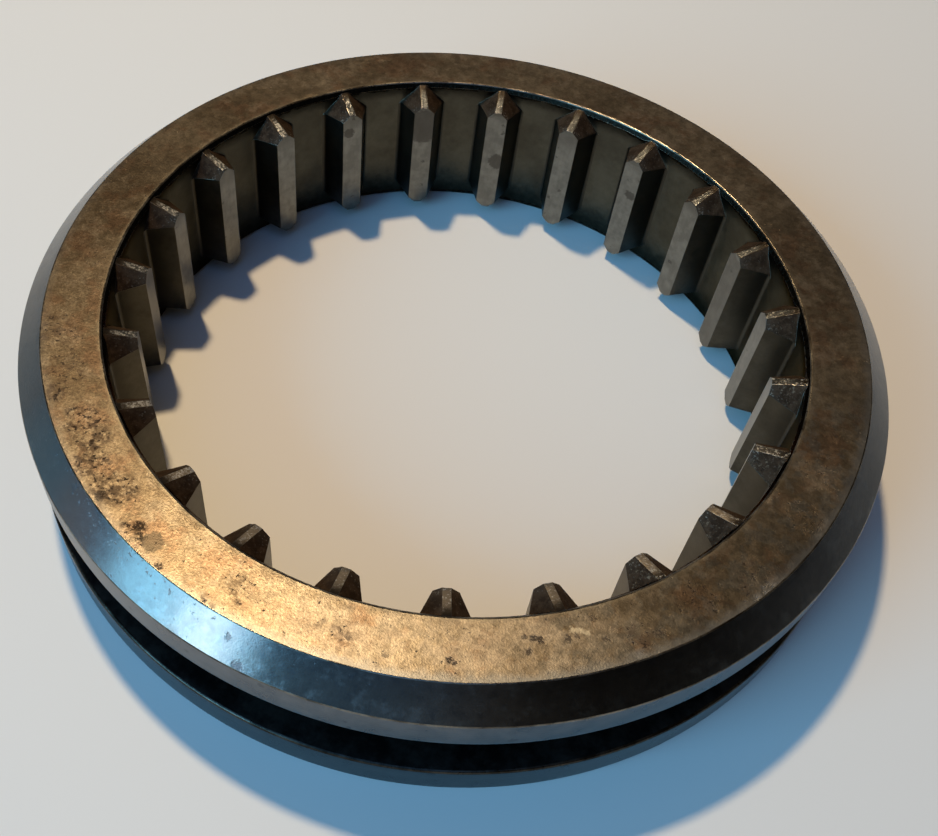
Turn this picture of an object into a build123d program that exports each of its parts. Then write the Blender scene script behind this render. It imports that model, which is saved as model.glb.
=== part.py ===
"""Ring with internal pointed teeth: the sliding sleeve of a gearbox synchroniser.

The ring stands on its lower face, with the origin at the centre of that face and +Z along its
axis.  A shift fork runs in the groove round its outside.  The teeth in its bore are widely
spaced and straight-flanked, and both their ends are pointed like a roof, so that they slip
between the dog teeth of the gear next to them.  The first tooth lies on +X.  Lengths are in
millimetres and angles in degrees.
"""

import os
from math import radians, tan

from build123d import *

# Ring
outer_diameter = 100.0
ring_height = 19.6
rim_bevel = 3.0  # broad 45 degree bevel round the upper rim
edge_break = 0.3  # small bevel on the other outer edges

# Fork groove
upper_flange = 7.35  # from the upper face down to the groove, bevel included
groove_width = 7.75
groove_depth = 5.0
groove_corner = 0.6  # bevel at the foot of both groove walls

# Bore
web = 5.0  # wall between the floor of the groove and the bore
bore_bevel = 0.4  # widening of the bore at both its ends
bore_bevel_height = 0.65  # how far down the wall that widening reaches
root_fillet = 0.5  # where a tooth flank runs into the bore

# Teeth
tooth_count = 23
tooth_height = 3.45  # from the bore in to the circle that the tips leave free
tip_width = 2.7  # across the flat tip of a tooth
flank_angle = 25.5  # between a flank and the middle plane of its tooth
roof_angle = 43.0  # fall of a roof facet from the crest to its flank
ridge_width = 0.9  # flat crest of the roof
ridge_inset = 1.5  # from the ring's face down to the crest, at the tip circle
ridge_runout = 0.3  # the same where the crest dies out in the bore's bevel
tip_stock = 0.4  # left inside the tip circle, for the last boring cut

outer_radius = outer_diameter / 2
floor_radius = outer_radius - groove_depth
root_radius = floor_radius - web
tip_radius = root_radius - tooth_height
groove_top = ring_height - upper_flange
groove_bottom = groove_top - groove_width
mid_height = ring_height / 2
runout_radius = root_radius + bore_bevel
roof_half_width = tip_width / 2 + (runout_radius - tip_radius) * tan(radians(flank_angle)) + root_fillet


def half_width(radius):
    """Half the width of a tooth at a distance from the axis."""
    return tip_width / 2 + (radius - tip_radius) * tan(radians(flank_angle))


def roof_outline(radius):
    """Points round the roofs of a tooth's two ends as seen from the axis, across and along it."""
    crest_rise = (ridge_inset - ridge_runout) / (runout_radius - tip_radius)
    crest = mid_height - ridge_inset + (radius - tip_radius) * crest_rise
    eaves = crest - (roof_half_width - ridge_width / 2) * tan(radians(roof_angle))
    upper_right = [(roof_half_width, eaves), (ridge_width / 2, crest)]
    upper_left = [(-across, along) for across, along in reversed(upper_right)]
    lower = [(-across, -along) for across, along in upper_right + upper_left]
    return upper_right + upper_left + lower


# One tooth: a bar that widens from its tip to its root and runs into the bore with a rounding,
# kept only as far as the facets of its roofs
with BuildPart() as tooth:
    inner = tip_radius - tip_stock
    with BuildSketch() as plan:
        Circle(runout_radius)
        Circle(root_radius, mode=Mode.SUBTRACT)
        Polygon(
            (inner, -half_width(inner)),
            (runout_radius, -half_width(runout_radius)),
            (runout_radius, half_width(runout_radius)),
            (inner, half_width(inner)),
            align=None,
        )
        root_corners = plan.vertices().filter_by(
            lambda corner: abs(Vector(corner.X, corner.Y).length - root_radius) < 0.001
            and abs(corner.Y) > tip_width / 2
        )
        fillet(root_corners, radius=root_fillet)
    extrude(amount=ring_height)
    for station in (inner, runout_radius):
        across_tooth = Plane(origin=(station, 0, mid_height), x_dir=(0, 1, 0), z_dir=(1, 0, 0))
        with BuildSketch(across_tooth):
            Polygon(*roof_outline(station), align=None)
    loft(ruled=True, mode=Mode.INTERSECT)

with BuildPart() as ring_gear:
    # Turned blank, one half section revolved about the axis
    with BuildSketch(Plane.XZ) as half_section:
        with BuildLine():
            Polyline(
                (runout_radius, 0),
                (outer_radius - edge_break, 0),
                (outer_radius, edge_break),
                (outer_radius, groove_bottom - edge_break),
                (outer_radius - edge_break, groove_bottom),
                (floor_radius, groove_bottom),
                (floor_radius, groove_top),
                (outer_radius - edge_break, groove_top),
                (outer_radius, groove_top + edge_break),
                (outer_radius, ring_height - rim_bevel),
                (outer_radius - rim_bevel, ring_height),
                (runout_radius, ring_height),
                (root_radius, ring_height - bore_bevel_height),
                (root_radius, bore_bevel_height),
                close=True,
            )
        make_face()
        groove_points = half_section.vertices().filter_by_position(
            Axis.Y, groove_bottom, groove_top
        )
        chamfer(groove_points.group_by(Axis.X)[0], length=groove_corner)
    revolve(axis=Axis.Z)

    # Teeth all round the bore, then the last boring cut, which leaves their tips on one circle
    with PolarLocations(0, tooth_count):
        add(tooth.part)
    with Locations((0, 0, mid_height)):
        Cylinder(tip_radius, ring_height, mode=Mode.SUBTRACT)

ring_gear.part.label = "ring_gear"

os.makedirs("parts", exist_ok=True)
export_step(ring_gear.part, "parts/ring_gear.step")
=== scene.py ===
"""Looks of the synchroniser sleeve: a worn, oil-browned steel ring on a pale table.

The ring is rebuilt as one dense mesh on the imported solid's own sizes, with rounded and worn edges,
and each kind of surface has its own procedural steel.  Lengths are millimetres in the mesh code and
in the steels, and metres where Blender is told them.  Azimuths on the ring are degrees from its own
+X, where the first tooth is.
"""
import math

import bmesh
import bpy
import numpy as np
from mathutils import Matrix, Vector


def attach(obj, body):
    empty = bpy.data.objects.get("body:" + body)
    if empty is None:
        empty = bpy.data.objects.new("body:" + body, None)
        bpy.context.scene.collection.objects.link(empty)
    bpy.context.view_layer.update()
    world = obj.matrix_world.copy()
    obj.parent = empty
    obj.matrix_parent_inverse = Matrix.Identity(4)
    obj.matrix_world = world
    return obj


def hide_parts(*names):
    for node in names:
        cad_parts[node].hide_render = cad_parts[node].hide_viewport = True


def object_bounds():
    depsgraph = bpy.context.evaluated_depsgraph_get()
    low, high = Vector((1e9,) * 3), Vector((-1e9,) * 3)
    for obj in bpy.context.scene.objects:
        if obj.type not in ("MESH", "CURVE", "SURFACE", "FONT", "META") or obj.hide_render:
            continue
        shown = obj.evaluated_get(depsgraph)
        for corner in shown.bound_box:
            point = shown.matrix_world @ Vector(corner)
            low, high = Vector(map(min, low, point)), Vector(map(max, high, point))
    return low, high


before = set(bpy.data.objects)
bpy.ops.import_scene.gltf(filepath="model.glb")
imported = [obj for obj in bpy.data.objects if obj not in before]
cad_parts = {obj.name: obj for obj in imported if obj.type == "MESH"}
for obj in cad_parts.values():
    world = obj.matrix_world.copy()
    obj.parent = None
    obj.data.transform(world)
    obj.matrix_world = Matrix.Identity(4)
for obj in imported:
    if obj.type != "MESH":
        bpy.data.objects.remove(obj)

MM = 0.001
cad_low, cad_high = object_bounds()

# ---------------------------------------------------------------------------- the ring's sizes, mm
OUTER_R = cad_high.x / MM
HEIGHT = cad_high.z / MM
MID = HEIGHT / 2
RIM_BEVEL = 3.0
UPPER_FLANGE = 7.35
GROOVE_WIDTH = 7.75
GROOVE_DEPTH = 5.0
GROOVE_CORNER = 0.6
WEB = 5.0
BORE_BEVEL = 0.4
BORE_BEVEL_HEIGHT = 0.65
ROOT_FILLET = 0.5
TEETH = 23
TOOTH_HEIGHT = 3.45
TIP_WIDTH = 2.7
FLANK_SLOPE = math.tan(math.radians(25.5))
ROOF_SLOPE = math.tan(math.radians(43.0))
RIDGE_WIDTH = 0.9
RIDGE_INSET = 1.5
RIDGE_RUNOUT = 0.3

FLOOR_R = OUTER_R - GROOVE_DEPTH
ROOT_R = FLOOR_R - WEB
TIP_R = ROOT_R - TOOTH_HEIGHT
RUNOUT_R = ROOT_R + BORE_BEVEL
GROOVE_TOP = HEIGHT - UPPER_FLANGE
GROOVE_BOTTOM = GROOVE_TOP - GROOVE_WIDTH
BEVEL_INNER_R = OUTER_R - RIM_BEVEL
CREST_EDGE = RIDGE_WIDTH / 2
PITCH = 2 * math.pi / TEETH

# Roundings of the turned edges, and of all the edges that are left sharp after them
BORE_ROUND = 0.3
FACE_ROUND = 0.25
RIM_ROUND = 0.3
LAND_ROUND = 0.35
GROOVE_ROUND = 0.2
WORN_EDGE = 0.09
WORN_EDGE_ANGLE = 26  # degrees between two faces, from which on their edge is worn

# How finely the mesh is divided
TOOTH_LEVELS = [MID, 11.4, 13.2, 15.0, 16.2]  # cross lines on the teeth, below their roofs
ACROSS = 4  # steps across a tip, a flank, a roof facet and half the land between two teeth
UP_THE_END = 3  # steps up the pointed end of a tip, and up each part of the wall above a roof
FILLET_STEPS = 3
ARC_STEPS = 4
PROFILE_STEP = 0.8
MERGE = 0.002  # points nearer to each other than this become one
SAME_POINT = 0.000001  # corners of one quad nearer to each other than this are the same corner
SHORTEST_EDGE = 0.0001

# Surfaces, in the order of the mesh's material slots
SURFACES = ["face", "rim_bevel", "flange", "groove", "bore", "flank", "tip", "roof", "crest", "edge"]
SLOT = {name: i for i, name in enumerate(SURFACES)}


# ------------------------------------------------------------------------- one quarter of a tooth
def lerp(a, b, t):
    return a + (b - a) * t


def steps(count):
    return [i / count for i in range(count + 1)]


def spread(low, high, count):
    return [lerp(low, high, t) for t in steps(count)]


def polar(radius, angle):
    return radius * math.cos(angle), radius * math.sin(angle)


def tip_x(y):
    return math.sqrt(TIP_R ** 2 - y * y)


def half_width(x):
    return TIP_WIDTH / 2 + (x - TIP_R) * FLANK_SLOPE


def crest_z(x):
    return HEIGHT - RIDGE_INSET + (x - TIP_R) * (RIDGE_INSET - RIDGE_RUNOUT) / (RUNOUT_R - TIP_R)


def roof_z(x, y):
    """Height of the upper roof at a point of the tooth's plan."""
    return crest_z(x) - max(0.0, y - CREST_EDGE) * ROOF_SLOPE


def wall_r(z):
    """Radius of the bore between the teeth, its bevel included."""
    return ROOT_R + max(0.0, z - (HEIGHT - BORE_BEVEL_HEIGHT)) * BORE_BEVEL / BORE_BEVEL_HEIGHT


def solve(func, low, high):
    """The point between low and high where func turns from negative to positive."""
    halvings = 50
    for _ in range(halvings):
        middle = (low + high) / 2
        if func(middle) > 0:
            high = middle
        else:
            low = middle
    return (low + high) / 2


TIP_CORNER_X = solve(lambda x: x * x + half_width(x) ** 2 - TIP_R ** 2, TIP_R - 1, TIP_R + 1)
ROOT_CORNER_X = solve(lambda x: x * x + half_width(x) ** 2 - ROOT_R ** 2, TIP_R, ROOT_R + 1)


def root_rounding():
    """Points of the rounding between a flank and the bore, from the flank to the bore."""
    slope = math.atan(FLANK_SLOPE)
    along = Vector((math.cos(slope), math.sin(slope)))
    out = Vector((-along.y, along.x))
    corner = Vector((ROOT_CORNER_X, half_width(ROOT_CORNER_X)))

    def centre(back):
        return corner - along * back + out * ROOT_FILLET

    middle = centre(solve(lambda back: ROOT_R - ROOT_FILLET - centre(back).length, 0.0, 2.0))
    start = -out
    turn = start.angle_signed(middle.normalized())
    points = []
    for t in steps(FILLET_STEPS):
        c, s = math.cos(-turn * t), math.sin(-turn * t)
        points.append(middle + Vector((start.x * c - start.y * s, start.x * s + start.y * c)) * ROOT_FILLET)
    return points


def on_wall(angle):
    """Where the roof meets the wall of the bore, in a direction from the axis."""
    radius = solve(lambda r: r - wall_r(roof_z(*polar(r, angle))), TIP_R, RUNOUT_R + 1)
    return Vector(polar(radius, angle))


class Patches:
    """Grids of points, each with the slot of its surface, joined into one mesh at the end."""

    def __init__(self):
        self.points, self.quads, self.slots = [], [], []

    def grid(self, name, rows):
        start = len(self.points)
        width = len(rows[0])
        for row in rows:
            self.points.extend(tuple(p) for p in row)
        for i in range(len(rows) - 1):
            for j in range(width - 1):
                a = start + i * width + j
                self.quads.append((a, a + 1, a + width + 1, a + width))
                self.slots.append(SLOT[name])


def upright(line, top):
    """Rows of points from the middle of the ring up to the height that top gives each of them."""
    rows = [[(x, y, z) for x, y in line] for z in TOOTH_LEVELS]
    return rows + [[(x, y, top(x, y)) for x, y in line]]


def roof_rows(tip, side, outer):
    """The roof facet between the crest, the tip, the flank with its rounding, and the wall."""
    count = len(side) - 1
    crest = [Vector((x, CREST_EDGE)) for x in spread(tip_x(CREST_EDGE), outer[0].x, count)]
    rows = []
    for i, u in enumerate(steps(count)):
        row = []
        for j, v in enumerate(steps(ACROSS)):
            point = crest[i] * (1 - v) + side[i] * v + tip[j] * (1 - u) + outer[j] * u
            point -= (crest[0] * (1 - u) * (1 - v) + crest[-1] * u * (1 - v)
                      + side[0] * (1 - u) * v + side[-1] * u * v)
            row.append((point.x, point.y, roof_z(point.x, point.y)))
        rows.append(row)
    return rows


def crest_rows(outer_x, count):
    """Half of the flat crest, from the tip out to the wall."""
    middle_x = on_wall(0.0).x
    rows = []
    for t in steps(count):
        row = []
        for y in (0.0, CREST_EDGE / 2, CREST_EDGE):
            x = lerp(tip_x(y), lerp(middle_x, outer_x, (y / CREST_EDGE) ** 2), t)
            row.append((x, y, crest_z(x)))
        rows.append(row)
    return rows


def wall_rows(feet):
    """The wall of the bore from the given points up to the rounding at the top of its bevel."""
    slope = math.atan2(BORE_BEVEL_HEIGHT, BORE_BEVEL)
    bevel_top = HEIGHT - BORE_ROUND * math.tan(slope / 2) * math.sin(slope)
    columns = []
    for x, y, z in feet:
        angle = math.atan2(y, x)
        bevel_foot = max(z, HEIGHT - BORE_BEVEL_HEIGHT)
        levels = spread(z, bevel_foot, UP_THE_END) + spread(bevel_foot, bevel_top, UP_THE_END)[1:]
        columns.append([(*polar(wall_r(level), angle), level) for level in levels])
    return [list(row) for row in zip(*columns)]


def quarter_tooth():
    """Half the width and the upper half of a tooth, with its share of the bore wall.

    Gives the patches and the angles of the points along their upper edge.
    """
    rounding = root_rounding()
    land_start = math.atan2(rounding[-1].y, rounding[-1].x)
    land_z = roof_z(*rounding[-1])
    tip = [Vector((tip_x(y), y)) for y in spread(CREST_EDGE, half_width(TIP_CORNER_X), ACROSS)]
    tip_line = [Vector((tip_x(y), y)) for y in (0.0, CREST_EDGE / 2)] + tip
    tip_corner_z = roof_z(*tip[-1])
    flank = [Vector((x, half_width(x))) for x in spread(TIP_CORNER_X, rounding[0].x, ACROSS)]
    land = [polar(ROOT_R, angle) for angle in spread(land_start, PITCH / 2, ACROSS)]

    patch = Patches()
    patch.grid("tip", upright(tip_line, lambda x, y: tip_corner_z))
    patch.grid("tip", [[(x, y, lerp(tip_corner_z, roof_z(x, y), t)) for x, y in tip_line]
                       for t in steps(UP_THE_END)])
    patch.grid("flank", upright(flank, roof_z))
    patch.grid("flank", upright(rounding, roof_z))
    patch.grid("bore", upright(land, lambda x, y: land_z))

    crest_angle = solve(lambda angle: on_wall(angle).y - CREST_EDGE, 0.0, 0.1)
    outer = [on_wall(angle) for angle in spread(crest_angle, land_start, ACROSS)]
    outer[0].y = CREST_EDGE
    side = flank + rounding[1:]
    roof = roof_rows(tip, side, outer)
    patch.grid("roof", roof)
    crest = crest_rows(outer[0].x, len(side) - 1)
    patch.grid("crest", crest)

    feet = crest[-1] + roof[-1][1:] + [(x, y, land_z) for x, y in land[1:]]
    patch.grid("bore", wall_rows(feet))
    return patch, [math.atan2(y, x) for x, y, z in feet]


# -------------------------------------------------------------------------------- the turned body
def rounded_profile(corners):
    """Points along the corners, (radius, height, rounding, surface); each name is the side after."""
    points, names = [], []
    last = len(corners) - 1
    for i, (radius, z, rounding, name) in enumerate(corners):
        here = Vector((radius, z))
        if rounding == 0 or i in (0, last):
            points.append(here)
            names.append(name)
            continue
        before = (Vector(corners[i - 1][:2]) - here).normalized()
        after = (Vector(corners[i + 1][:2]) - here).normalized()
        half = before.angle(after) / 2
        reach = rounding / math.tan(half)
        centre = here + (before + after).normalized() * (rounding / math.sin(half))
        first, final = here + before * reach, here + after * reach
        for t in steps(ARC_STEPS):
            points.append(centre + (first - centre).lerp(final - centre, t).normalized() * rounding)
            names.append("edge")
        names[-1] = name
    return points, names


def turned_body(angles):
    """The ring's outside and both its faces, over the given angles."""
    corners = [
        (ROOT_R, HEIGHT - BORE_BEVEL_HEIGHT, 0, "bore"),
        (RUNOUT_R, HEIGHT, BORE_ROUND, "face"),
        (BEVEL_INNER_R, HEIGHT, FACE_ROUND, "rim_bevel"),
        (OUTER_R, HEIGHT - RIM_BEVEL, RIM_ROUND, "flange"),
        (OUTER_R, GROOVE_TOP, LAND_ROUND, "groove"),
        (FLOOR_R + GROOVE_CORNER, GROOVE_TOP, GROOVE_ROUND, "groove"),
        (FLOOR_R, GROOVE_TOP - GROOVE_CORNER, GROOVE_ROUND, "groove"),
        (FLOOR_R, GROOVE_BOTTOM + GROOVE_CORNER, GROOVE_ROUND, "groove"),
        (FLOOR_R + GROOVE_CORNER, GROOVE_BOTTOM, GROOVE_ROUND, "groove"),
        (OUTER_R, GROOVE_BOTTOM, LAND_ROUND, "flange"),
        (OUTER_R, 0.0, LAND_ROUND, "face"),
        (RUNOUT_R, 0.0, BORE_ROUND, "bore"),
        (ROOT_R, BORE_BEVEL_HEIGHT, 0, "bore"),
    ]
    points, names = rounded_profile(corners)
    # the first and the last side belong to the bore, which the teeth's patches make
    points, names = points[1:-1], names[1:-1]
    patch = Patches()
    for a, b, name in zip(points, points[1:], names):
        count = max(1, round((b - a).length / PROFILE_STEP))
        stops = [a.lerp(b, t) for t in steps(count)]
        rows = [[(*polar(stop.x, angle), stop.y) for angle in angles] for stop in stops]
        for row, following in zip(rows, rows[1:]):
            patch.grid(name, [row, following])
    return patch


def all_round(patch, flips):
    """Copies of a patch at every tooth, on both its sides and, where flips says so, upside down."""
    base = np.array(patch.points)
    copies = []
    for under in flips:
        for left in (False, True):
            part = base.copy()
            if under:
                part[:, 2] = HEIGHT - part[:, 2]
            if left:
                part[:, 1] *= -1
            for k in range(TEETH):
                c, s = math.cos(k * PITCH), math.sin(k * PITCH)
                turned = part.copy()
                turned[:, 0] = part[:, 0] * c - part[:, 1] * s
                turned[:, 1] = part[:, 0] * s + part[:, 1] * c
                copies.append(turned)
    return copies


def build_ring():
    tooth, angles = quarter_tooth()
    body = turned_body(angles)
    mesh_data = bmesh.new()
    for patch, flips in ((tooth, (False, True)), (body, (False,))):
        for copy in all_round(patch, flips):
            verts = [mesh_data.verts.new(point) for point in copy * MM]
            for quad, slot in zip(patch.quads, patch.slots):
                corners = []
                for i in quad:
                    if all((verts[i].co - other.co).length > SAME_POINT * MM for other in corners):
                        corners.append(verts[i])
                if len(corners) > 2:
                    mesh_data.faces.new(corners).material_index = slot
    bmesh.ops.remove_doubles(mesh_data, verts=mesh_data.verts, dist=MERGE * MM)
    bmesh.ops.dissolve_degenerate(mesh_data, edges=mesh_data.edges, dist=SHORTEST_EDGE * MM)
    bmesh.ops.recalc_face_normals(mesh_data, faces=mesh_data.faces)
    for face in mesh_data.faces:
        face.smooth = True
    mesh = bpy.data.meshes.new("sleeve")
    mesh_data.to_mesh(mesh)
    mesh_data.free()
    return mesh


ring = bpy.data.objects.new("sleeve_ring", build_ring())
bpy.context.collection.objects.link(ring)


# -------------------------------------------------------------------------------------- the nodes
class Nodes:
    """Short ways to add nodes to a tree.  A value is a number, a vector or a socket."""

    def __init__(self, tree):
        self.tree = tree

    def put(self, values, node):
        """Link sockets to inputs of a node and set others to values; None leaves one as it is."""
        for key, value in values.items():
            if isinstance(value, bpy.types.NodeSocket):
                self.tree.links.new(value, node.inputs[key])
            elif value is not None:
                node.inputs[key].default_value = value

    def add(self, kind, inputs, **settings):
        node = self.tree.nodes.new(kind)
        for key, value in settings.items():
            setattr(node, key, value)
        self.put(inputs, node)
        return node

    def math(self, operation, a, b=None, c=None):
        return self.add("ShaderNodeMath", {0: a, 1: b, 2: c}, operation=operation).outputs[0]

    def times(self, *values):
        product = values[0]
        for other in values[1:]:
            product = self.math("MULTIPLY", product, other)
        return product

    def most(self, *values):
        value = values[0]
        for other in values[1:]:
            value = self.math("MAXIMUM", value, other)
        return value

    def vector(self, operation, a, b=None, scale=None):
        node = self.add("ShaderNodeVectorMath", {0: a, 1: b, "Scale": scale}, operation=operation)
        return node.outputs["Value" if operation in ("DISTANCE", "DOT_PRODUCT", "LENGTH") else 0]

    def ramp(self, value, low, high, at_low, at_high):
        """Smooth step from at_low, where the value is low, to at_high, where it is high."""
        return self.add("ShaderNodeMapRange", {0: value, 1: low, 2: high, 3: at_low, 4: at_high},
                        interpolation_type="SMOOTHSTEP").outputs[0]

    def band(self, value, zero, one):
        """Smooth step from 0 where value is zero to 1 where it is one."""
        return self.ramp(value, zero, one, 0.0, 1.0)

    def mix(self, factor, a, b):
        """Two colours mixed: a where the factor is 0, b where it is 1."""
        a, b = [v if isinstance(v, bpy.types.NodeSocket) else (*v, 1.0) for v in (a, b)]
        return self.add("ShaderNodeMix", {0: factor, 6: a, 7: b}, data_type="RGBA").outputs[2]

    def mix_numbers(self, factor, a, b):
        return self.add("ShaderNodeMix", {0: factor, 2: a, 3: b}, data_type="FLOAT").outputs[0]

    def mix_shaders(self, factor, a, b):
        return self.add("ShaderNodeMixShader", {0: factor, 1: a, 2: b}).outputs[0]


# ------------------------------------------------------------------------------------- the steels
class Steel(Nodes):
    """A material of the ring.  Its textures lie at the ring's own coordinates, in millimetres."""

    def __init__(self, name):
        self.material = bpy.data.materials.new(name)
        self.material.use_nodes = True
        super().__init__(self.material.node_tree)
        self.shader = self.tree.nodes["Principled BSDF"]
        coordinates = self.add("ShaderNodeTexCoord", {}).outputs["Object"]
        self.place = self.vector("SCALE", coordinates, scale=1 / MM)
        self.x, self.y, self.z = self.add("ShaderNodeSeparateXYZ", {0: self.place}).outputs
        self.radius = self.math("SQRT", self.math("ADD", self.times(self.x, self.x),
                                                  self.times(self.y, self.y)))
        self.ragged = self.displaced(0.5, 0.55)

    def noise(self, size, detail, roughness=0.55, at=None, shift=(0, 0, 0)):
        """Noise between 0 and 1 whose blotches are about as wide as size."""
        at = self.vector("ADD", self.place if at is None else at, shift)
        return self.add("ShaderNodeTexNoise", {"Vector": at, "Scale": 1 / size, "Detail": detail,
                                               "Roughness": roughness}).outputs[0]

    def displaced(self, size, reach):
        """The place, pushed about by a noise of the given size, for ragged outlines."""
        push = self.add("ShaderNodeTexNoise", {"Vector": self.place, "Scale": 1 / size,
                                               "Detail": 3.0, "Roughness": 0.6}).outputs["Color"]
        push = self.vector("SUBTRACT", push, (0.5, 0.5, 0.5))
        return self.vector("ADD", self.place, self.vector("SCALE", push, scale=2 * reach))

    def along(self, value):
        """A place that changes with one value alone, for a noise that does the same."""
        return self.add("ShaderNodeCombineXYZ", {0: 0.0, 1: 0.0, 2: value}).outputs[0]

    def scaled(self, value, low, high):
        """A value between 0 and 1 stretched to between low and high."""
        return self.math("MULTIPLY_ADD", value, high - low, low)

    def frayed(self, value, noise, reach, zero, one):
        """A band of a value that a noise first shifts up and down by the reach."""
        shifted = self.math("ADD", value, self.scaled(noise, -reach, reach))
        return self.band(shifted, zero, one)

    def stained(self, colour, mask, strength, other):
        """A colour that turns into another, by no more than the strength, where the mask is 1."""
        return self.mix(self.scaled(mask, 0.0, strength), colour, other)

    def shade(self, colour, factor):
        """A colour times a number."""
        return self.vector("SCALE", colour, scale=factor)

    def dimmed(self, colour, mask, factor):
        """A colour times a factor where the mask is 1."""
        return self.shade(colour, self.scaled(mask, 1.0, factor))

    def spots(self, size, reach):
        """Scattered ragged spots, 1 inside: one to a cell of the given size, each up to reach cells."""
        cells = self.add("ShaderNodeTexVoronoi", {"Vector": self.ragged, "Scale": 1 / size}).outputs
        number = self.add("ShaderNodeSeparateColor", {0: cells["Color"]}).outputs[0]
        edge = self.times(number, number, reach)
        return self.band(self.math("SUBTRACT", cells["Distance"], edge), 0.04, -0.10)

    def at(self, azimuth, radius, height, size, soft, at=None):
        """1 within size of a point of the ring, falling to 0 over soft times size beyond it."""
        centre = (*polar(radius, math.radians(azimuth)), height)
        distance = self.vector("DISTANCE", self.ragged if at is None else at, centre)
        return self.band(distance, size * (1 + soft), size)

    def facing(self, azimuth, zero, one):
        """1 near an azimuth, up to one degrees from it, falling to 0 at zero degrees from it."""
        toward = self.vector("DOT_PRODUCT", self.place, (*polar(1.0, math.radians(azimuth)), 0.0))
        return self.band(self.math("DIVIDE", toward, self.radius),
                         math.cos(math.radians(zero)), math.cos(math.radians(one)))

    def within_tooth(self):
        """Distance out from the axis along the nearest tooth, distance across it, its number."""
        angle = self.math("ARCTAN2", self.y, self.x)
        number = self.math("ROUND", self.math("DIVIDE", angle, PITCH))
        turn = self.math("MULTIPLY_ADD", number, -PITCH, angle)
        return (self.times(self.radius, self.math("COSINE", turn)),
                self.times(self.radius, self.math("SINE", turn)), number)

    def finish(self, colour, roughness, heights, metallic=1.0):
        """Wire up the shader; heights are (height, depth) pairs for the bump."""
        normal = None
        for height, depth in heights:
            normal = self.add("ShaderNodeBump", {"Height": height, "Distance": depth * MM,
                                                 "Normal": normal}).outputs[0]
        self.put({"Base Color": colour, "Roughness": roughness, "Metallic": metallic,
                  "Normal": normal}, self.shader)
        return self.material


# Dark marks on the upper face: azimuth, radius, size, how dark
CLUSTERS = [
    (-171.0, 42.6, 1.2, 0.7), (-157.0, 44.8, 1.8, 0.9), (-150.0, 43.9, 1.7, 0.9),
    (-145.8, 45.9, 1.0, 1.0), (-139.5, 43.9, 1.7, 1.0), (-136.4, 44.0, 1.5, 1.0),
    (-133.2, 44.9, 1.6, 1.0), (-127.6, 44.6, 1.8, 0.9), (-120.9, 45.8, 1.1, 1.0),
    (-105.0, 43.7, 1.1, 0.5), (-54.6, 45.0, 1.2, 0.8), (-45.2, 43.6, 1.5, 0.9),
    (-37.0, 45.2, 1.7, 1.0), (-25.0, 44.3, 1.6, 0.8), (-16.0, 43.6, 1.8, 0.9)]
PITS = [
    (-68.4, 42.5, 0.16, 0.8), (-67.3, 42.8, 0.22, 1.0), (-66.6, 43.0, 0.24, 1.0),
    (-68.2, 44.1, 0.20, 0.9), (-77.8, 44.8, 0.20, 1.0), (-77.3, 45.0, 0.16, 0.9),
    (-63.1, 43.3, 0.24, 0.8), (-61.8, 43.2, 0.18, 0.7), (-58.4, 44.1, 0.20, 0.8),
    (-57.0, 43.3, 0.32, 0.4), (-59.0, 41.8, 0.18, 0.7), (-120.9, 45.0, 0.34, 1.0),
    (-127.8, 45.9, 0.30, 0.9), (-114.9, 46.6, 0.24, 0.8), (-90.0, 44.3, 0.16, 0.5),
    (-85.3, 45.1, 0.18, 0.5), (-51.7, 45.2, 0.28, 0.7)]

# A pale scratch on the upper face, as a chain of points: azimuth, radius
SCRATCH = [(-62.1, 42.4), (-61.7, 42.6), (-61.3, 42.8), (-60.9, 42.9), (-60.4, 43.0)]
SCRATCH_WIDTH = 0.16

# Parts of the upper face painted darker as shade, where the lamp's highlight falls off: azimuth, reach in
# degrees, factor
PAINTED_SHADE_PARTS = [(-133, 38, 0.88), (-42, 24, 0.70), (14, 34, 0.86), (165, 34, 0.82)]

# Oil stains on the tips of the teeth: azimuth, depth below the face, size, softness
OIL_STAINS = [(109.6, 4.5, 2.5, 0.15), (92.6, 9.6, 1.15, 0.2), (126.0, 4.2, 0.7, 0.3),
              (61.8, 7.0, 0.6, 0.4)]

# Pits on the broad bevel: azimuth, radius, depth below the face, size
BEVEL_PITS = [(-101.0, 49.8, 2.8, 0.45), (-103.2, 48.1, 1.1, 0.25), (-131.0, 47.6, 0.6, 0.3)]

# The teeth on the right in front whose ends get painted glinting specks, as facing takes them
PAINTED_GLINT_TEETH = (-22, 42, 30)


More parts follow.
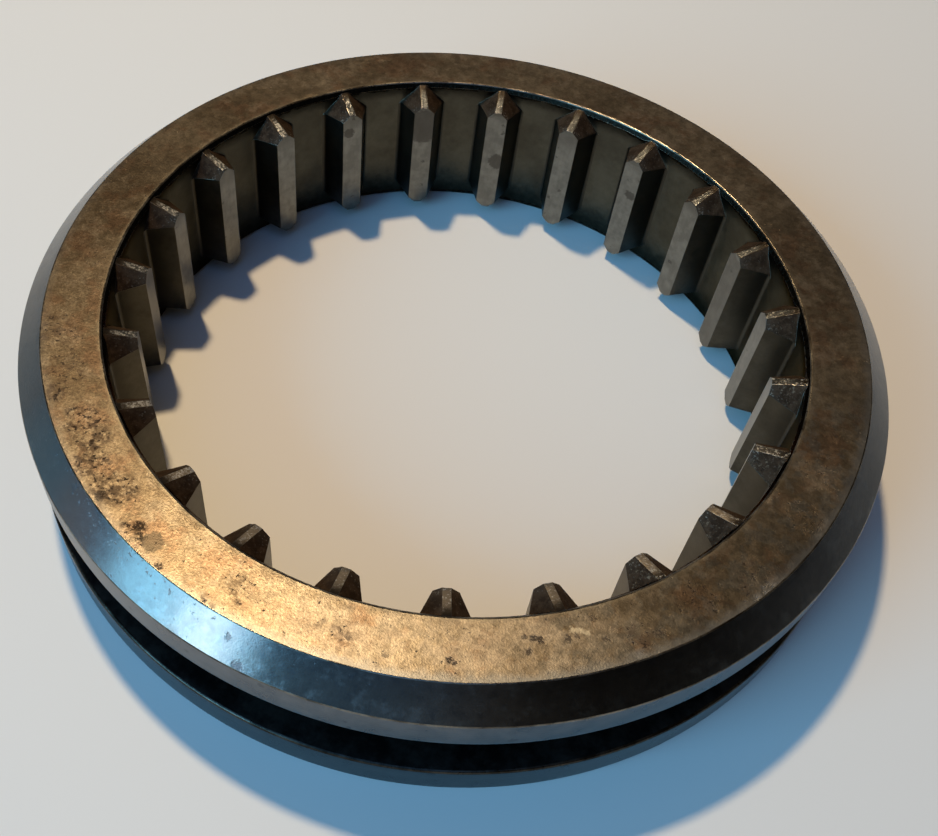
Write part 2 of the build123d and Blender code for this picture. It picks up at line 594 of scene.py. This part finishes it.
def face_patina(steel, blotch, grain, mottle_and_sparkle_side, front):
    """Brown patina of the flat ends: rust, grey and pale patches, painted highlight in front, mottled with
    painted sparkle on the left.
    """
    cloud, rust = steel.noise(13.0, 4.0, 0.6), steel.noise(5.0, 4.0, 0.7, shift=(31, 7, 0))
    fine = steel.noise(0.8, 4.0, 0.6, at=steel.ragged)
    colour = steel.mix(steel.band(cloud, 0.36, 0.62), (0.150, 0.118, 0.082), (0.215, 0.176, 0.128))
    colour = steel.stained(colour, steel.band(rust, 0.48, 0.62), 0.6, (0.185, 0.115, 0.075))
    greys = steel.times(steel.facing(-35, 42, 20),
                        steel.band(steel.noise(2.0, 4.0, 0.65, shift=(6, 1, 9)), 0.46, 0.58))
    colour = steel.stained(colour, greys, 0.6, (0.165, 0.162, 0.150))
    # pale patches, and a paler patina in front that is partly a painted highlight
    pale = steel.most(steel.scaled(steel.band(blotch, 0.50, 0.64), 0.0, 0.6),
                      steel.times(front, steel.band(blotch, 0.34, 0.58)))
    colour = steel.stained(colour, pale, 0.75, (0.275, 0.233, 0.185))
    # grain and dark mottle, stronger on the left side
    brushed = steel.times(steel.scaled(grain, -1.0, 1.0), steel.scaled(mottle_and_sparkle_side, 0.2, 0.45))
    clouded = steel.scaled(steel.band(fine, 0.32, 0.68), 0.74, 1.24)
    colour = steel.shade(colour, steel.math("ADD", clouded, brushed))
    mottle = steel.times(steel.band(steel.noise(0.30, 4.0, 0.7, shift=(0, 17, 5)), 0.46, 0.58), mottle_and_sparkle_side)
    colour = steel.stained(colour, mottle, 0.42, (0.078, 0.052, 0.034))
    # painted sparkle: bright flecks on the left side, as where the grain catches the lamp
    painted_sparkle = steel.times(steel.band(steel.noise(0.26, 4.0, 0.7, shift=(2, 0, 11)), 0.63, 0.70),
                        steel.scaled(mottle_and_sparkle_side, 0.35, 1.0))
    return steel.stained(colour, painted_sparkle, 0.6, (0.48, 0.41, 0.32))


def face_marks(steel, loose):
    """Masks of the smudges and the pits on the flat ends, which come in clusters."""
    torn = steel.displaced(0.28, 0.42)
    clusters = steel.most(
        steel.scaled(steel.band(steel.noise(6.0, 4.0, 0.7, shift=(3, 11, 0)), 0.54, 0.68), 0.0, 0.6),
        *[steel.scaled(steel.at(azimuth, radius, HEIGHT, size, 0.8, at=loose), 0.0, dark)
          for azimuth, radius, size, dark in CLUSTERS])
    smudge = steel.times(clusters, steel.band(steel.noise(1.0, 5.0, 0.72), 0.43, 0.60))
    field = steel.math("ADD", steel.noise(0.55, 5.0, 0.72, shift=(5, 0, 3)),
                       steel.scaled(clusters, 0.0, 0.09))
    listed = steel.most(*[steel.scaled(steel.at(azimuth, radius, HEIGHT, size, 1.5, at=torn), 0.0, dark)
                          for azimuth, radius, size, dark in PITS])
    broken = steel.band(steel.noise(0.24, 4.0, 0.7, shift=(8, 8, 1)), 0.42, 0.54)
    pits = steel.most(steel.band(field, 0.63, 0.73), steel.times(listed, steel.scaled(broken, 0.2, 1.0)))
    return smudge, pits


def face_steel(name):
    """Flat ends: brown oil and heat patina, mottled, pitted in clusters, paler along both edges, with
    painted shade, highlight and sheen by side.
    """
    steel = Steel(name)
    loose = steel.displaced(2.4, 1.6)
    blotch, grain = steel.noise(2.6, 5.0, 0.68, at=loose), steel.noise(0.19, 2.0)
    mottle_and_sparkle_side, front = steel.facing(-145, 75, 30), steel.facing(-76, 32, 12)
    colour = face_patina(steel, blotch, grain, mottle_and_sparkle_side, front)

    smudge, pits = face_marks(steel, loose)
    colour = steel.stained(colour, smudge, 0.65, (0.085, 0.056, 0.036))
    colour = steel.stained(colour, pits, 0.8, (0.030, 0.020, 0.014))
    grey_spot = steel.at(-118.0, 45.2, HEIGHT, 1.0, 0.3)
    colour = steel.stained(colour, grey_spot, 0.85, (0.060, 0.050, 0.039))
    scratch = steel.most(*[steel.at(azimuth, radius, HEIGHT, SCRATCH_WIDTH, 1.5)
                           for azimuth, radius in SCRATCH])
    colour = steel.stained(colour, scratch, 0.8, (0.52, 0.47, 0.38))

    # painted shade in front on the left, which narrows the lamp's highlight, and at the parts listed
    colour = steel.dimmed(colour, steel.facing(-150, 68, 25), 0.74)
    for azimuth, reach, factor in PAINTED_SHADE_PARTS:
        colour = steel.dimmed(colour, steel.facing(azimuth, reach, reach / 3), factor)

    ragged = steel.scaled(steel.noise(1.4, 4.0, 0.65), -0.9, 0.9)
    # paler grey along the outer edge all round, with a painted sheen strongest in front on the right
    rim = steel.band(steel.math("ADD", steel.radius, ragged), BEVEL_INNER_R - 1.3, BEVEL_INNER_R)
    rim = steel.times(rim, steel.scaled(steel.facing(-45, 70, 30), 0.15, 0.75))
    colour = steel.mix(rim, colour, (0.200, 0.205, 0.210))
    lip = steel.band(steel.math("ADD", steel.radius, steel.times(ragged, 0.5)), RUNOUT_R + 0.6, RUNOUT_R)
    colour = steel.stained(colour, lip, 0.4, (0.26, 0.235, 0.185))

    roughness = steel.math("ADD", steel.scaled(blotch, 0.27, 0.43), steel.math(
        "ADD", steel.scaled(steel.most(pits, smudge), 0.0, 0.2), steel.scaled(front, 0.0, 0.06)))
    heights = [(grain, 0.013), (steel.noise(0.4, 3.0), 0.010), (steel.scaled(pits, 1.0, 0.0), 0.014)]
    return steel.finish(colour, roughness, heights)


def bevel_steel(name):
    """The broad bevel round the rim: barer grey steel, stained and pitted near its top, with a painted blue
    reflection and painted shade by side.
    """
    steel = Steel(name)
    cloud, blotch = steel.noise(9.0, 4.0, 0.6), steel.noise(1.8, 4.0, 0.65)
    fine, grain = steel.noise(0.6, 3.0), steel.noise(0.18, 2.0)
    dull = steel.band(steel.noise(1.1, 5.0, 0.7, shift=(0, 5, 9)), 0.50, 0.66)
    colour = steel.mix(steel.band(cloud, 0.35, 0.65), (0.118, 0.114, 0.108), (0.156, 0.150, 0.142))
    colour = steel.stained(colour, steel.band(blotch, 0.52, 0.66), 0.7, (0.20, 0.205, 0.20))
    colour = steel.stained(colour, dull, 0.5, (0.075, 0.080, 0.090))

    high = steel.frayed(steel.z, blotch, 1.2, HEIGHT - 2.0, HEIGHT - 0.3)
    marred = steel.most(steel.facing(-125, 30, 14),
                        steel.scaled(steel.band(steel.noise(4.0, 3.0), 0.50, 0.62), 0.0, 0.6))
    stain = steel.times(steel.band(steel.noise(1.3, 5.0, 0.7, shift=(9, 2, 4)), 0.48, 0.66), marred)
    field = steel.math("ADD", steel.noise(0.6, 5.0, 0.72, shift=(2, 8, 1)),
                       steel.times(steel.scaled(high, 0.25, 1.0), steel.scaled(marred, 0.0, 0.09)))
    listed = [steel.at(azimuth, radius, HEIGHT - depth, size, 0.8)
              for azimuth, radius, depth, size in BEVEL_PITS]
    pits = steel.most(steel.band(field, 0.66, 0.76), *listed)
    stain = steel.most(stain, steel.scaled(high, 0.0, 0.6))
    colour = steel.stained(colour, stain, 0.5, (0.055, 0.060, 0.072))
    colour = steel.stained(colour, pits, 0.85, (0.022, 0.026, 0.038))
    colour = steel.shade(colour, steel.scaled(fine, 0.78, 1.22))

    # painted reflections: bluer in front on the left, warmer beside that; painted shade in front on the
    # right and at the far left
    colour = steel.stained(colour, steel.facing(-140, 26, 10), 0.6, (0.085, 0.118, 0.140))
    colour = steel.stained(colour, steel.facing(-134, 14, 5), 0.4, (0.09, 0.20, 0.27))
    colour = steel.stained(colour, steel.facing(-116, 20, 8), 0.5, (0.25, 0.165, 0.125))
    colour = steel.dimmed(colour, steel.facing(-28, 52, 28), 0.38)
    colour = steel.dimmed(colour, steel.facing(-168, 40, 15), 0.72)

    roughness = steel.math("ADD", steel.scaled(blotch, 0.14, 0.30), steel.scaled(pits, 0.0, 0.06))
    heights = [(grain, 0.005), (fine, 0.004), (steel.scaled(pits, 1.0, 0.0), 0.008)]
    return steel.finish(colour, roughness, heights)


def land_steel(name):
    """The two outer lands beside the groove: dulled turned steel with faint rings, the lower one with
    painted shade.
    """
    steel = Steel(name)
    blotch, grain = steel.noise(2.5, 4.0, 0.6), steel.noise(0.25, 2.0)
    rings = steel.noise(0.35, 2.0, at=steel.along(steel.z))
    colour = steel.mix(steel.band(blotch, 0.35, 0.68), (0.095, 0.096, 0.094), (0.140, 0.140, 0.136))
    colour = steel.stained(colour, steel.spots(1.7, 0.3), 0.7, (0.05, 0.048, 0.045))
    # painted shade: the lower land darker
    lower = steel.band(steel.z, GROOVE_TOP, GROOVE_BOTTOM)
    colour = steel.shade(colour, steel.times(steel.scaled(rings, 0.8, 1.2), steel.scaled(lower, 1.0, 0.6)))
    return steel.finish(colour, steel.scaled(blotch, 0.22, 0.36), [(grain, 0.005), (rings, 0.01)])


def groove_steel(name):
    """The fork groove: painted near-black as the shade in it, in uneven patches."""
    steel = Steel(name)
    blotch, grain = steel.noise(3.0, 4.0, 0.65), steel.noise(0.4, 3.0)
    colour = steel.mix(steel.band(blotch, 0.35, 0.7), (0.015, 0.013, 0.012), (0.046, 0.041, 0.035))
    return steel.finish(colour, steel.scaled(blotch, 0.38, 0.6), [(grain, 0.02)])


def bore_steel(name):
    """The wall between the teeth: olive brown with painted shade near its foot, darker under its top, black
    and oily in the bevel at both its ends.
    """
    steel = Steel(name)
    cloud, blotch, grain = steel.noise(6.0, 4.0, 0.6), steel.noise(1.2, 4.0, 0.65), steel.noise(0.3, 3.0)
    colour = steel.mix(steel.band(cloud, 0.35, 0.65), (0.066, 0.060, 0.044), (0.090, 0.084, 0.062))
    colour = steel.shade(colour, steel.scaled(blotch, 0.65, 1.3))
    # painted shade towards the foot of the wall; darker also just under the top bevel
    foot = steel.frayed(steel.z, blotch, 1.5, 5.5, 0.5)
    eaves = steel.frayed(steel.z, blotch, 0.8, HEIGHT - 2.4, HEIGHT - 1.0)
    colour = steel.dimmed(colour, steel.most(foot, eaves), 0.35)

    from_end = steel.math("SUBTRACT", MID, steel.math("ABSOLUTE", steel.math("SUBTRACT", steel.z, MID)))
    oily = steel.frayed(from_end, blotch, 0.5, BORE_BEVEL_HEIGHT + 0.35, BORE_BEVEL_HEIGHT + 0.05)
    colour = steel.mix(oily, colour, (0.009, 0.008, 0.006))
    film = steel.noise(0.55, 4.0, 0.65)
    wet = steel.scaled(steel.band(film, 0.40, 0.60), 0.16, 0.45)
    steel.shader.inputs["Specular Tint"].default_value = (0.50, 0.42, 0.34, 1)
    return steel.finish(colour, steel.mix_numbers(oily, steel.scaled(blotch, 0.30, 0.44), wet),
                        [(grain, 0.012), (steel.times(oily, film), 0.16)])


def flank_steel(name):
    """Tooth flanks: dark brown, with painted shade nearly black towards the root and near the foot."""
    steel = Steel(name)
    out, _, _ = steel.within_tooth()
    cloud, blotch, grain = steel.noise(5.0, 4.0, 0.6), steel.noise(1.0, 4.0, 0.65), steel.noise(0.3, 3.0)
    colour = steel.mix(steel.band(cloud, 0.35, 0.65), (0.066, 0.060, 0.046), (0.092, 0.085, 0.066))
    # painted shade: darker into the corner at the root
    root = steel.frayed(out, blotch, 0.8, TIP_R + 1.2, ROOT_R)
    colour = steel.stained(colour, root, 0.6, (0.034, 0.030, 0.022))
    # painted shade towards the foot
    colour = steel.dimmed(colour, steel.frayed(steel.z, blotch, 1.5, 5.0, 0.5), 0.5)
    colour = steel.shade(colour, steel.scaled(blotch, 0.7, 1.25))
    return steel.finish(colour, steel.scaled(blotch, 0.30, 0.44), [(grain, 0.012)])


def tip_steel(name):
    """Tooth tips, rubbed by the hub: satin grey with oil stains on some teeth."""
    steel = Steel(name)
    _, _, number = steel.within_tooth()
    blotch, grain = steel.noise(1.6, 4.0, 0.6), steel.noise(0.22, 3.0)
    streak = steel.noise(0.5, 3.0, at=steel.vector("MULTIPLY", steel.place, (1.0, 1.0, 0.16)))
    colour = steel.mix(steel.band(blotch, 0.35, 0.68), (0.150, 0.146, 0.128), (0.205, 0.200, 0.175))
    colour = steel.shade(colour, steel.scaled(streak, 0.78, 1.2))
    own_number = steel.add("ShaderNodeCombineXYZ", {0: number, 1: 0.0, 2: 0.0}).outputs[0]
    dark_from = steel.scaled(steel.noise(0.9, 2.0, at=own_number), HEIGHT + 6.0, HEIGHT - 13.0)
    colour = steel.stained(colour, steel.frayed(steel.z, blotch, 1.2, dark_from, HEIGHT - 2.0), 0.45,
                           (0.085, 0.078, 0.066))
    oil = steel.most(*[steel.at(azimuth, TIP_R, HEIGHT - depth, size, soft)
                       for azimuth, depth, size, soft in OIL_STAINS])
    colour = steel.stained(colour, oil, 0.75, (0.062, 0.056, 0.048))
    colour = steel.stained(colour, steel.spots(1.3, 0.25), 0.6, (0.05, 0.045, 0.038))
    return steel.finish(colour, steel.scaled(blotch, 0.26, 0.38), [(grain, 0.008), (streak, 0.008)])


def roof_steel(name):
    """Roof facets of the teeth: dull brown-black scale, nicked to bare steel, most near the tips, with
    painted glinting specks.
    """
    steel = Steel(name)
    out, _, _ = steel.within_tooth()
    blotch, fine = steel.noise(1.1, 4.0, 0.65), steel.noise(0.3, 3.0)
    colour = steel.mix(steel.band(blotch, 0.38, 0.64), (0.020, 0.012, 0.007), (0.040, 0.025, 0.015))
    colour = steel.shade(colour, steel.scaled(fine, 0.6, 1.4))
    worn = steel.frayed(out, blotch, 1.2, TIP_R + 1.5, TIP_R)
    nicks = steel.band(steel.noise(0.28, 4.0, 0.7, shift=(4, 4, 4)), 0.58, 0.64)
    bare = steel.most(steel.scaled(worn, 0.0, 0.04), steel.times(nicks, steel.scaled(worn, 0.1, 0.7)))
    colour = steel.mix(bare, colour, (0.30, 0.265, 0.215))
    # painted highlight: glinting specks on the teeth on the right in front
    painted_glints = steel.times(steel.band(steel.noise(0.5, 5.0, 0.75, shift=(6, 2, 8)), 0.56, 0.68),
                         steel.facing(*PAINTED_GLINT_TEETH))
    colour = steel.stained(colour, painted_glints, 0.5, (0.20, 0.165, 0.115))
    steel.shader.inputs["Specular IOR Level"].default_value = 0.02
    return steel.finish(colour, steel.scaled(blotch, 0.50, 0.66), [(fine, 0.03)], metallic=bare)


def crest_steel(name):
    """The crests, battered where the dog teeth strike them, with painted shade on one side and painted
    light and specks in front.
    """
    steel = Steel(name)
    out, across, _ = steel.within_tooth()
    blotch, fine = steel.noise(0.8, 4.0, 0.65), steel.noise(0.25, 3.0)
    front, left, painted_shade_side = steel.facing(-80, 75, 45), steel.facing(-175, 85, 40), steel.facing(35, 75, 45)

    # half the width of the bare strip, which narrows toward the bore and is broader in front
    tip_width = steel.math("ADD", steel.scaled(blotch, 0.38, 0.58), steel.scaled(front, 0.0, 0.3))
    bare_width = steel.math("MULTIPLY_ADD", steel.math("SUBTRACT", out, TIP_R), -0.26 / TOOTH_HEIGHT,
                            tip_width)
    beside = steel.band(steel.math("SUBTRACT", steel.math("ABSOLUTE", across), bare_width), -0.05, 0.05)
    scale = steel.most(beside, steel.frayed(out, blotch, 0.8, ROOT_R - 1.6, ROOT_R - 0.1))
    battered = steel.math("ADD", steel.noise(0.30, 4.0, 0.7, shift=(1, 2, 3)),
                          steel.scaled(left, 0.0, 0.07))
    nicks = steel.band(battered, 0.56, 0.62)

    colour = steel.mix(steel.band(blotch, 0.36, 0.66), (0.050, 0.052, 0.055), (0.110, 0.114, 0.118))
    # paler in front: bare steel, partly painted light
    colour = steel.stained(colour, front, 0.85, (0.21, 0.175, 0.135))
    colour = steel.stained(colour, nicks, 0.8, (0.46, 0.46, 0.46))
    colour = steel.mix(scale, colour, (0.028, 0.022, 0.017))
    colour = steel.shade(colour, steel.scaled(fine, 0.7, 1.3))
    # painted shade on one side of the ring against the lamp's reflection, and painted light in front
    colour = steel.dimmed(colour, painted_shade_side, 0.42)
    colour = steel.dimmed(colour, front, 1.6)
    # painted highlight: glinting specks on the teeth on the right in front
    painted_glints = steel.times(steel.band(steel.noise(0.32, 4.0, 0.7, shift=(8, 1, 5)), 0.56, 0.62),
                         steel.facing(*PAINTED_GLINT_TEETH))
    colour = steel.stained(colour, painted_glints, 0.85, (0.46, 0.42, 0.34))
    return steel.finish(colour, steel.scaled(blotch, 0.30, 0.46), [(fine, 0.04)],
                        metallic=steel.scaled(painted_glints, 1.0, 0.35))


def edge_steel(name):
    """Worn edges: bare bright steel in broken lengths, dark where the patina still covers them, with
    painted shade and specks at some teeth.
    """
    steel = Steel(name)
    run, fine = steel.noise(5.0, 4.0, 0.65), steel.noise(0.35, 3.0)
    colour = steel.mix(steel.band(run, 0.36, 0.64), (0.060, 0.048, 0.036), (0.26, 0.225, 0.175))
    colour = steel.shade(colour, steel.scaled(fine, 0.6, 1.3))
    teeth = steel.times(steel.band(steel.radius, ROOT_R + 0.1, ROOT_R - 0.1), steel.facing(0, 75, 45))
    groove_lips = steel.times(steel.band(steel.radius, OUTER_R - 1.5, OUTER_R - 0.7),
                              steel.band(steel.z, GROOVE_TOP + 2.0, GROOVE_TOP + 1.0))
    # painted shade on the edges of the teeth on the right, against the lamp's reflection; darker also on
    # the groove's lips
    colour = steel.dimmed(colour, steel.most(teeth, groove_lips), 0.3)
    crests = steel.times(teeth, steel.band(steel.z, HEIGHT - 1.9, HEIGHT - 1.6))
    # painted highlight: glinting specks on the crest edges of the teeth on the right in front
    painted_glints = steel.times(steel.band(steel.noise(0.7, 4.0, 0.7, shift=(3, 3, 7)), 0.44, 0.52),
                         crests, steel.facing(*PAINTED_GLINT_TEETH))
    colour = steel.stained(colour, painted_glints, 0.9, (0.62, 0.56, 0.45))
    return steel.finish(colour, steel.scaled(fine, 0.20, 0.40), [(fine, 0.02)],
                        metallic=steel.scaled(painted_glints, 1.0, 0.4))


RECIPES = {"face": face_steel, "rim_bevel": bevel_steel, "flange": land_steel, "groove": groove_steel,
           "bore": bore_steel, "flank": flank_steel, "tip": tip_steel, "roof": roof_steel,
           "crest": crest_steel, "edge": edge_steel}
for name in SURFACES:
    ring.data.materials.append(RECIPES[name]("steel_" + name))

bevel = ring.modifiers.new("worn_edges", "BEVEL")
bevel.width = WORN_EDGE * MM
bevel.segments = 2
bevel.limit_method = "ANGLE"
bevel.angle_limit = math.radians(WORN_EDGE_ANGLE)
bevel.material = SLOT["edge"]
bevel.harden_normals = False
weighted = ring.modifiers.new("even_shading", "WEIGHTED_NORMAL")
weighted.mode = "FACE_AREA"
weighted.weight = 80

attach(ring, "root")
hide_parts("ring_gear")

# ------------------------------------------------------------------------------------ the lights
TURN = math.radians(7.28)  # from the view's own axes to the ring's


def direction(azimuth, elevation):
    """Unit vector; azimuth in degrees from behind the ring towards its left, as the camera sees it."""
    a, e = math.radians(azimuth) + TURN, math.radians(elevation)
    return Vector((-math.sin(a) * math.cos(e), math.cos(a) * math.cos(e), math.sin(e)))


def area_light(name, azimuth, elevation, distance, width, height, colour, power, shape="RECTANGLE"):
    """A light of the given size in metres that looks at the ring's upper face."""
    data = bpy.data.lights.new(name, "AREA")
    data.shape = shape
    data.size = width
    data.size_y = height
    data.color = colour
    data.energy = power
    light = bpy.data.objects.new(name, data)
    bpy.context.collection.objects.link(light)
    aim = Vector((0, 0, HEIGHT * MM))
    light.location = aim + direction(azimuth, elevation) * distance
    light.rotation_mode = "QUATERNION"
    light.rotation_quaternion = (aim - light.location).to_track_quat("-Z", "Y")


area_light("lamp", 39.4, 68.9, 0.547, 0.035, 0.035, (1.0, 0.76, 0.45), 2.38, "DISK")
area_light("window", 130, 26, 1.2, 0.70, 0.72, (0.18, 0.60, 1.0), 12.2)
area_light("pane", 138, 17, 1.19, 0.24, 0.30, (0.80, 0.94, 1.0), 1.0)
area_light("sky", 155, 62, 1.0, 0.9, 0.9, (0.03, 0.33, 1.0), 1.8)

# ------------------------------------------------------------------------- the room and the table
PALE = (0.50, 0.525, 0.54)  # the wall, and the table where the lamp doesn't reach
WARM = (1.0, 0.88, 0.74)
WINDOW_BLUE = (1.05, 2.1, 3.3)
TABLE_REACH = 3.0  # metres


def seen(nodes):
    """1 for rays that come from the camera, a mirror or glass, 0 for those that light things."""
    path = nodes.add("ShaderNodeLightPath", {}).outputs
    return nodes.most(path["Is Camera Ray"], path["Is Glossy Ray"], path["Is Transmission Ray"])


def build_room():
    """A dim warm room, darkest in front on the right, with a pale wall low down all round.

    The camera itself sees nothing but that wall.
    """
    world = bpy.data.worlds.new("room")
    bpy.context.scene.world = world
    world.use_nodes = True
    nodes = Nodes(world.node_tree)
    outward = nodes.add("ShaderNodeTexCoord", {}).outputs["Generated"]
    dark_side = nodes.vector("DOT_PRODUCT", outward, direction(-108, 8))
    window_side = nodes.vector("DOT_PRODUCT", outward, direction(140, 15))
    up = nodes.add("ShaderNodeSeparateXYZ", {0: outward}).outputs["Z"]
    direct = nodes.add("ShaderNodeLightPath", {}).outputs["Is Camera Ray"]

    room = world.node_tree.nodes["Background"]
    nodes.put({"Strength": nodes.ramp(dark_side, 0.25, 0.88, 0.125, 0.055),
               "Color": nodes.mix(nodes.band(window_side, 0.50, 1.0), WARM, WINDOW_BLUE)}, room)
    wall_strength = nodes.most(nodes.ramp(dark_side, 0.45, 0.92, 1.0, 0.45), direct)
    wall = nodes.add("ShaderNodeBackground", {"Color": (*PALE, 1), "Strength": wall_strength})
    low_down = nodes.times(nodes.ramp(up, 0.05, 0.24, 1.0, 0.0), seen(nodes))
    both = nodes.mix_shaders(nodes.most(low_down, direct), room.outputs[0], wall.outputs[0])
    nodes.put({"Surface": both}, world.node_tree.nodes["World Output"])


def table_paint():
    """Pale paint that turns, away from the ring, into the pale wall behind the table."""
    material = bpy.data.materials.new("pale_table")
    material.use_nodes = True
    nodes = Nodes(material.node_tree)
    paint = material.node_tree.nodes["Principled BSDF"]
    nodes.put({"Base Color": (0.68, 0.66, 0.63, 1), "Roughness": 0.6}, paint)
    glow = nodes.add("ShaderNodeEmission", {"Color": (*PALE, 1)})
    distance = nodes.vector("LENGTH", nodes.add("ShaderNodeTexCoord", {}).outputs["Object"])
    away = nodes.times(nodes.band(distance, 0.16, 0.46), seen(nodes))
    both = nodes.mix_shaders(away, paint.outputs[0], glow.outputs[0])
    nodes.put({"Surface": both}, material.node_tree.nodes["Material Output"])
    return material


build_room()
table_mesh = bpy.data.meshes.new("table")
table_mesh.from_pydata([(x * TABLE_REACH, y * TABLE_REACH, 0)
                        for x, y in ((-1, -1), (1, -1), (1, 1), (-1, 1))], [], [(0, 1, 2, 3)])
table_mesh.materials.append(table_paint())
floor = bpy.data.objects.new("table", table_mesh)
bpy.context.collection.objects.link(floor)

# ------------------------------------------------------------------------------------ the camera
CAMERA_ELEVATION = math.radians(46.81)
CAMERA_DISTANCE = 2.6025 * OUTER_R * MM  # from the middle of the upper face
PAN, TILT, ROLL = math.radians(3.094), math.radians(7.0), math.radians(7.809)

back = Vector((0, -math.cos(CAMERA_ELEVATION), math.sin(CAMERA_ELEVATION)))
right = Vector((1, 0, 0))
looking = Matrix((right, (-back).cross(right), -back))
aimed = (Matrix.Rotation(ROLL, 3, "Z") @ Matrix.Rotation(PAN, 3, "Y") @ Matrix.Rotation(TILT, 3, "X")
         @ looking)
axes = Matrix((aimed[0], -aimed[1], -aimed[2])).transposed()
placed = Matrix.Translation(back * CAMERA_DISTANCE) @ axes.to_4x4()
camera_data = bpy.data.cameras.new("camera")
camera_data.sensor_width = 36.0
camera_data.lens = 42.90
camera_data.shift_x = 0.0968
camera_data.shift_y = 0.0109
camera_data.clip_start = 0.01
camera = bpy.data.objects.new("camera", camera_data)
bpy.context.collection.objects.link(camera)
camera.matrix_world = Matrix.Translation((0, 0, HEIGHT * MM)) @ Matrix.Rotation(TURN, 4, "Z") @ placed
bpy.context.scene.camera = camera

bpy.context.scene.view_settings.view_transform = "Standard"
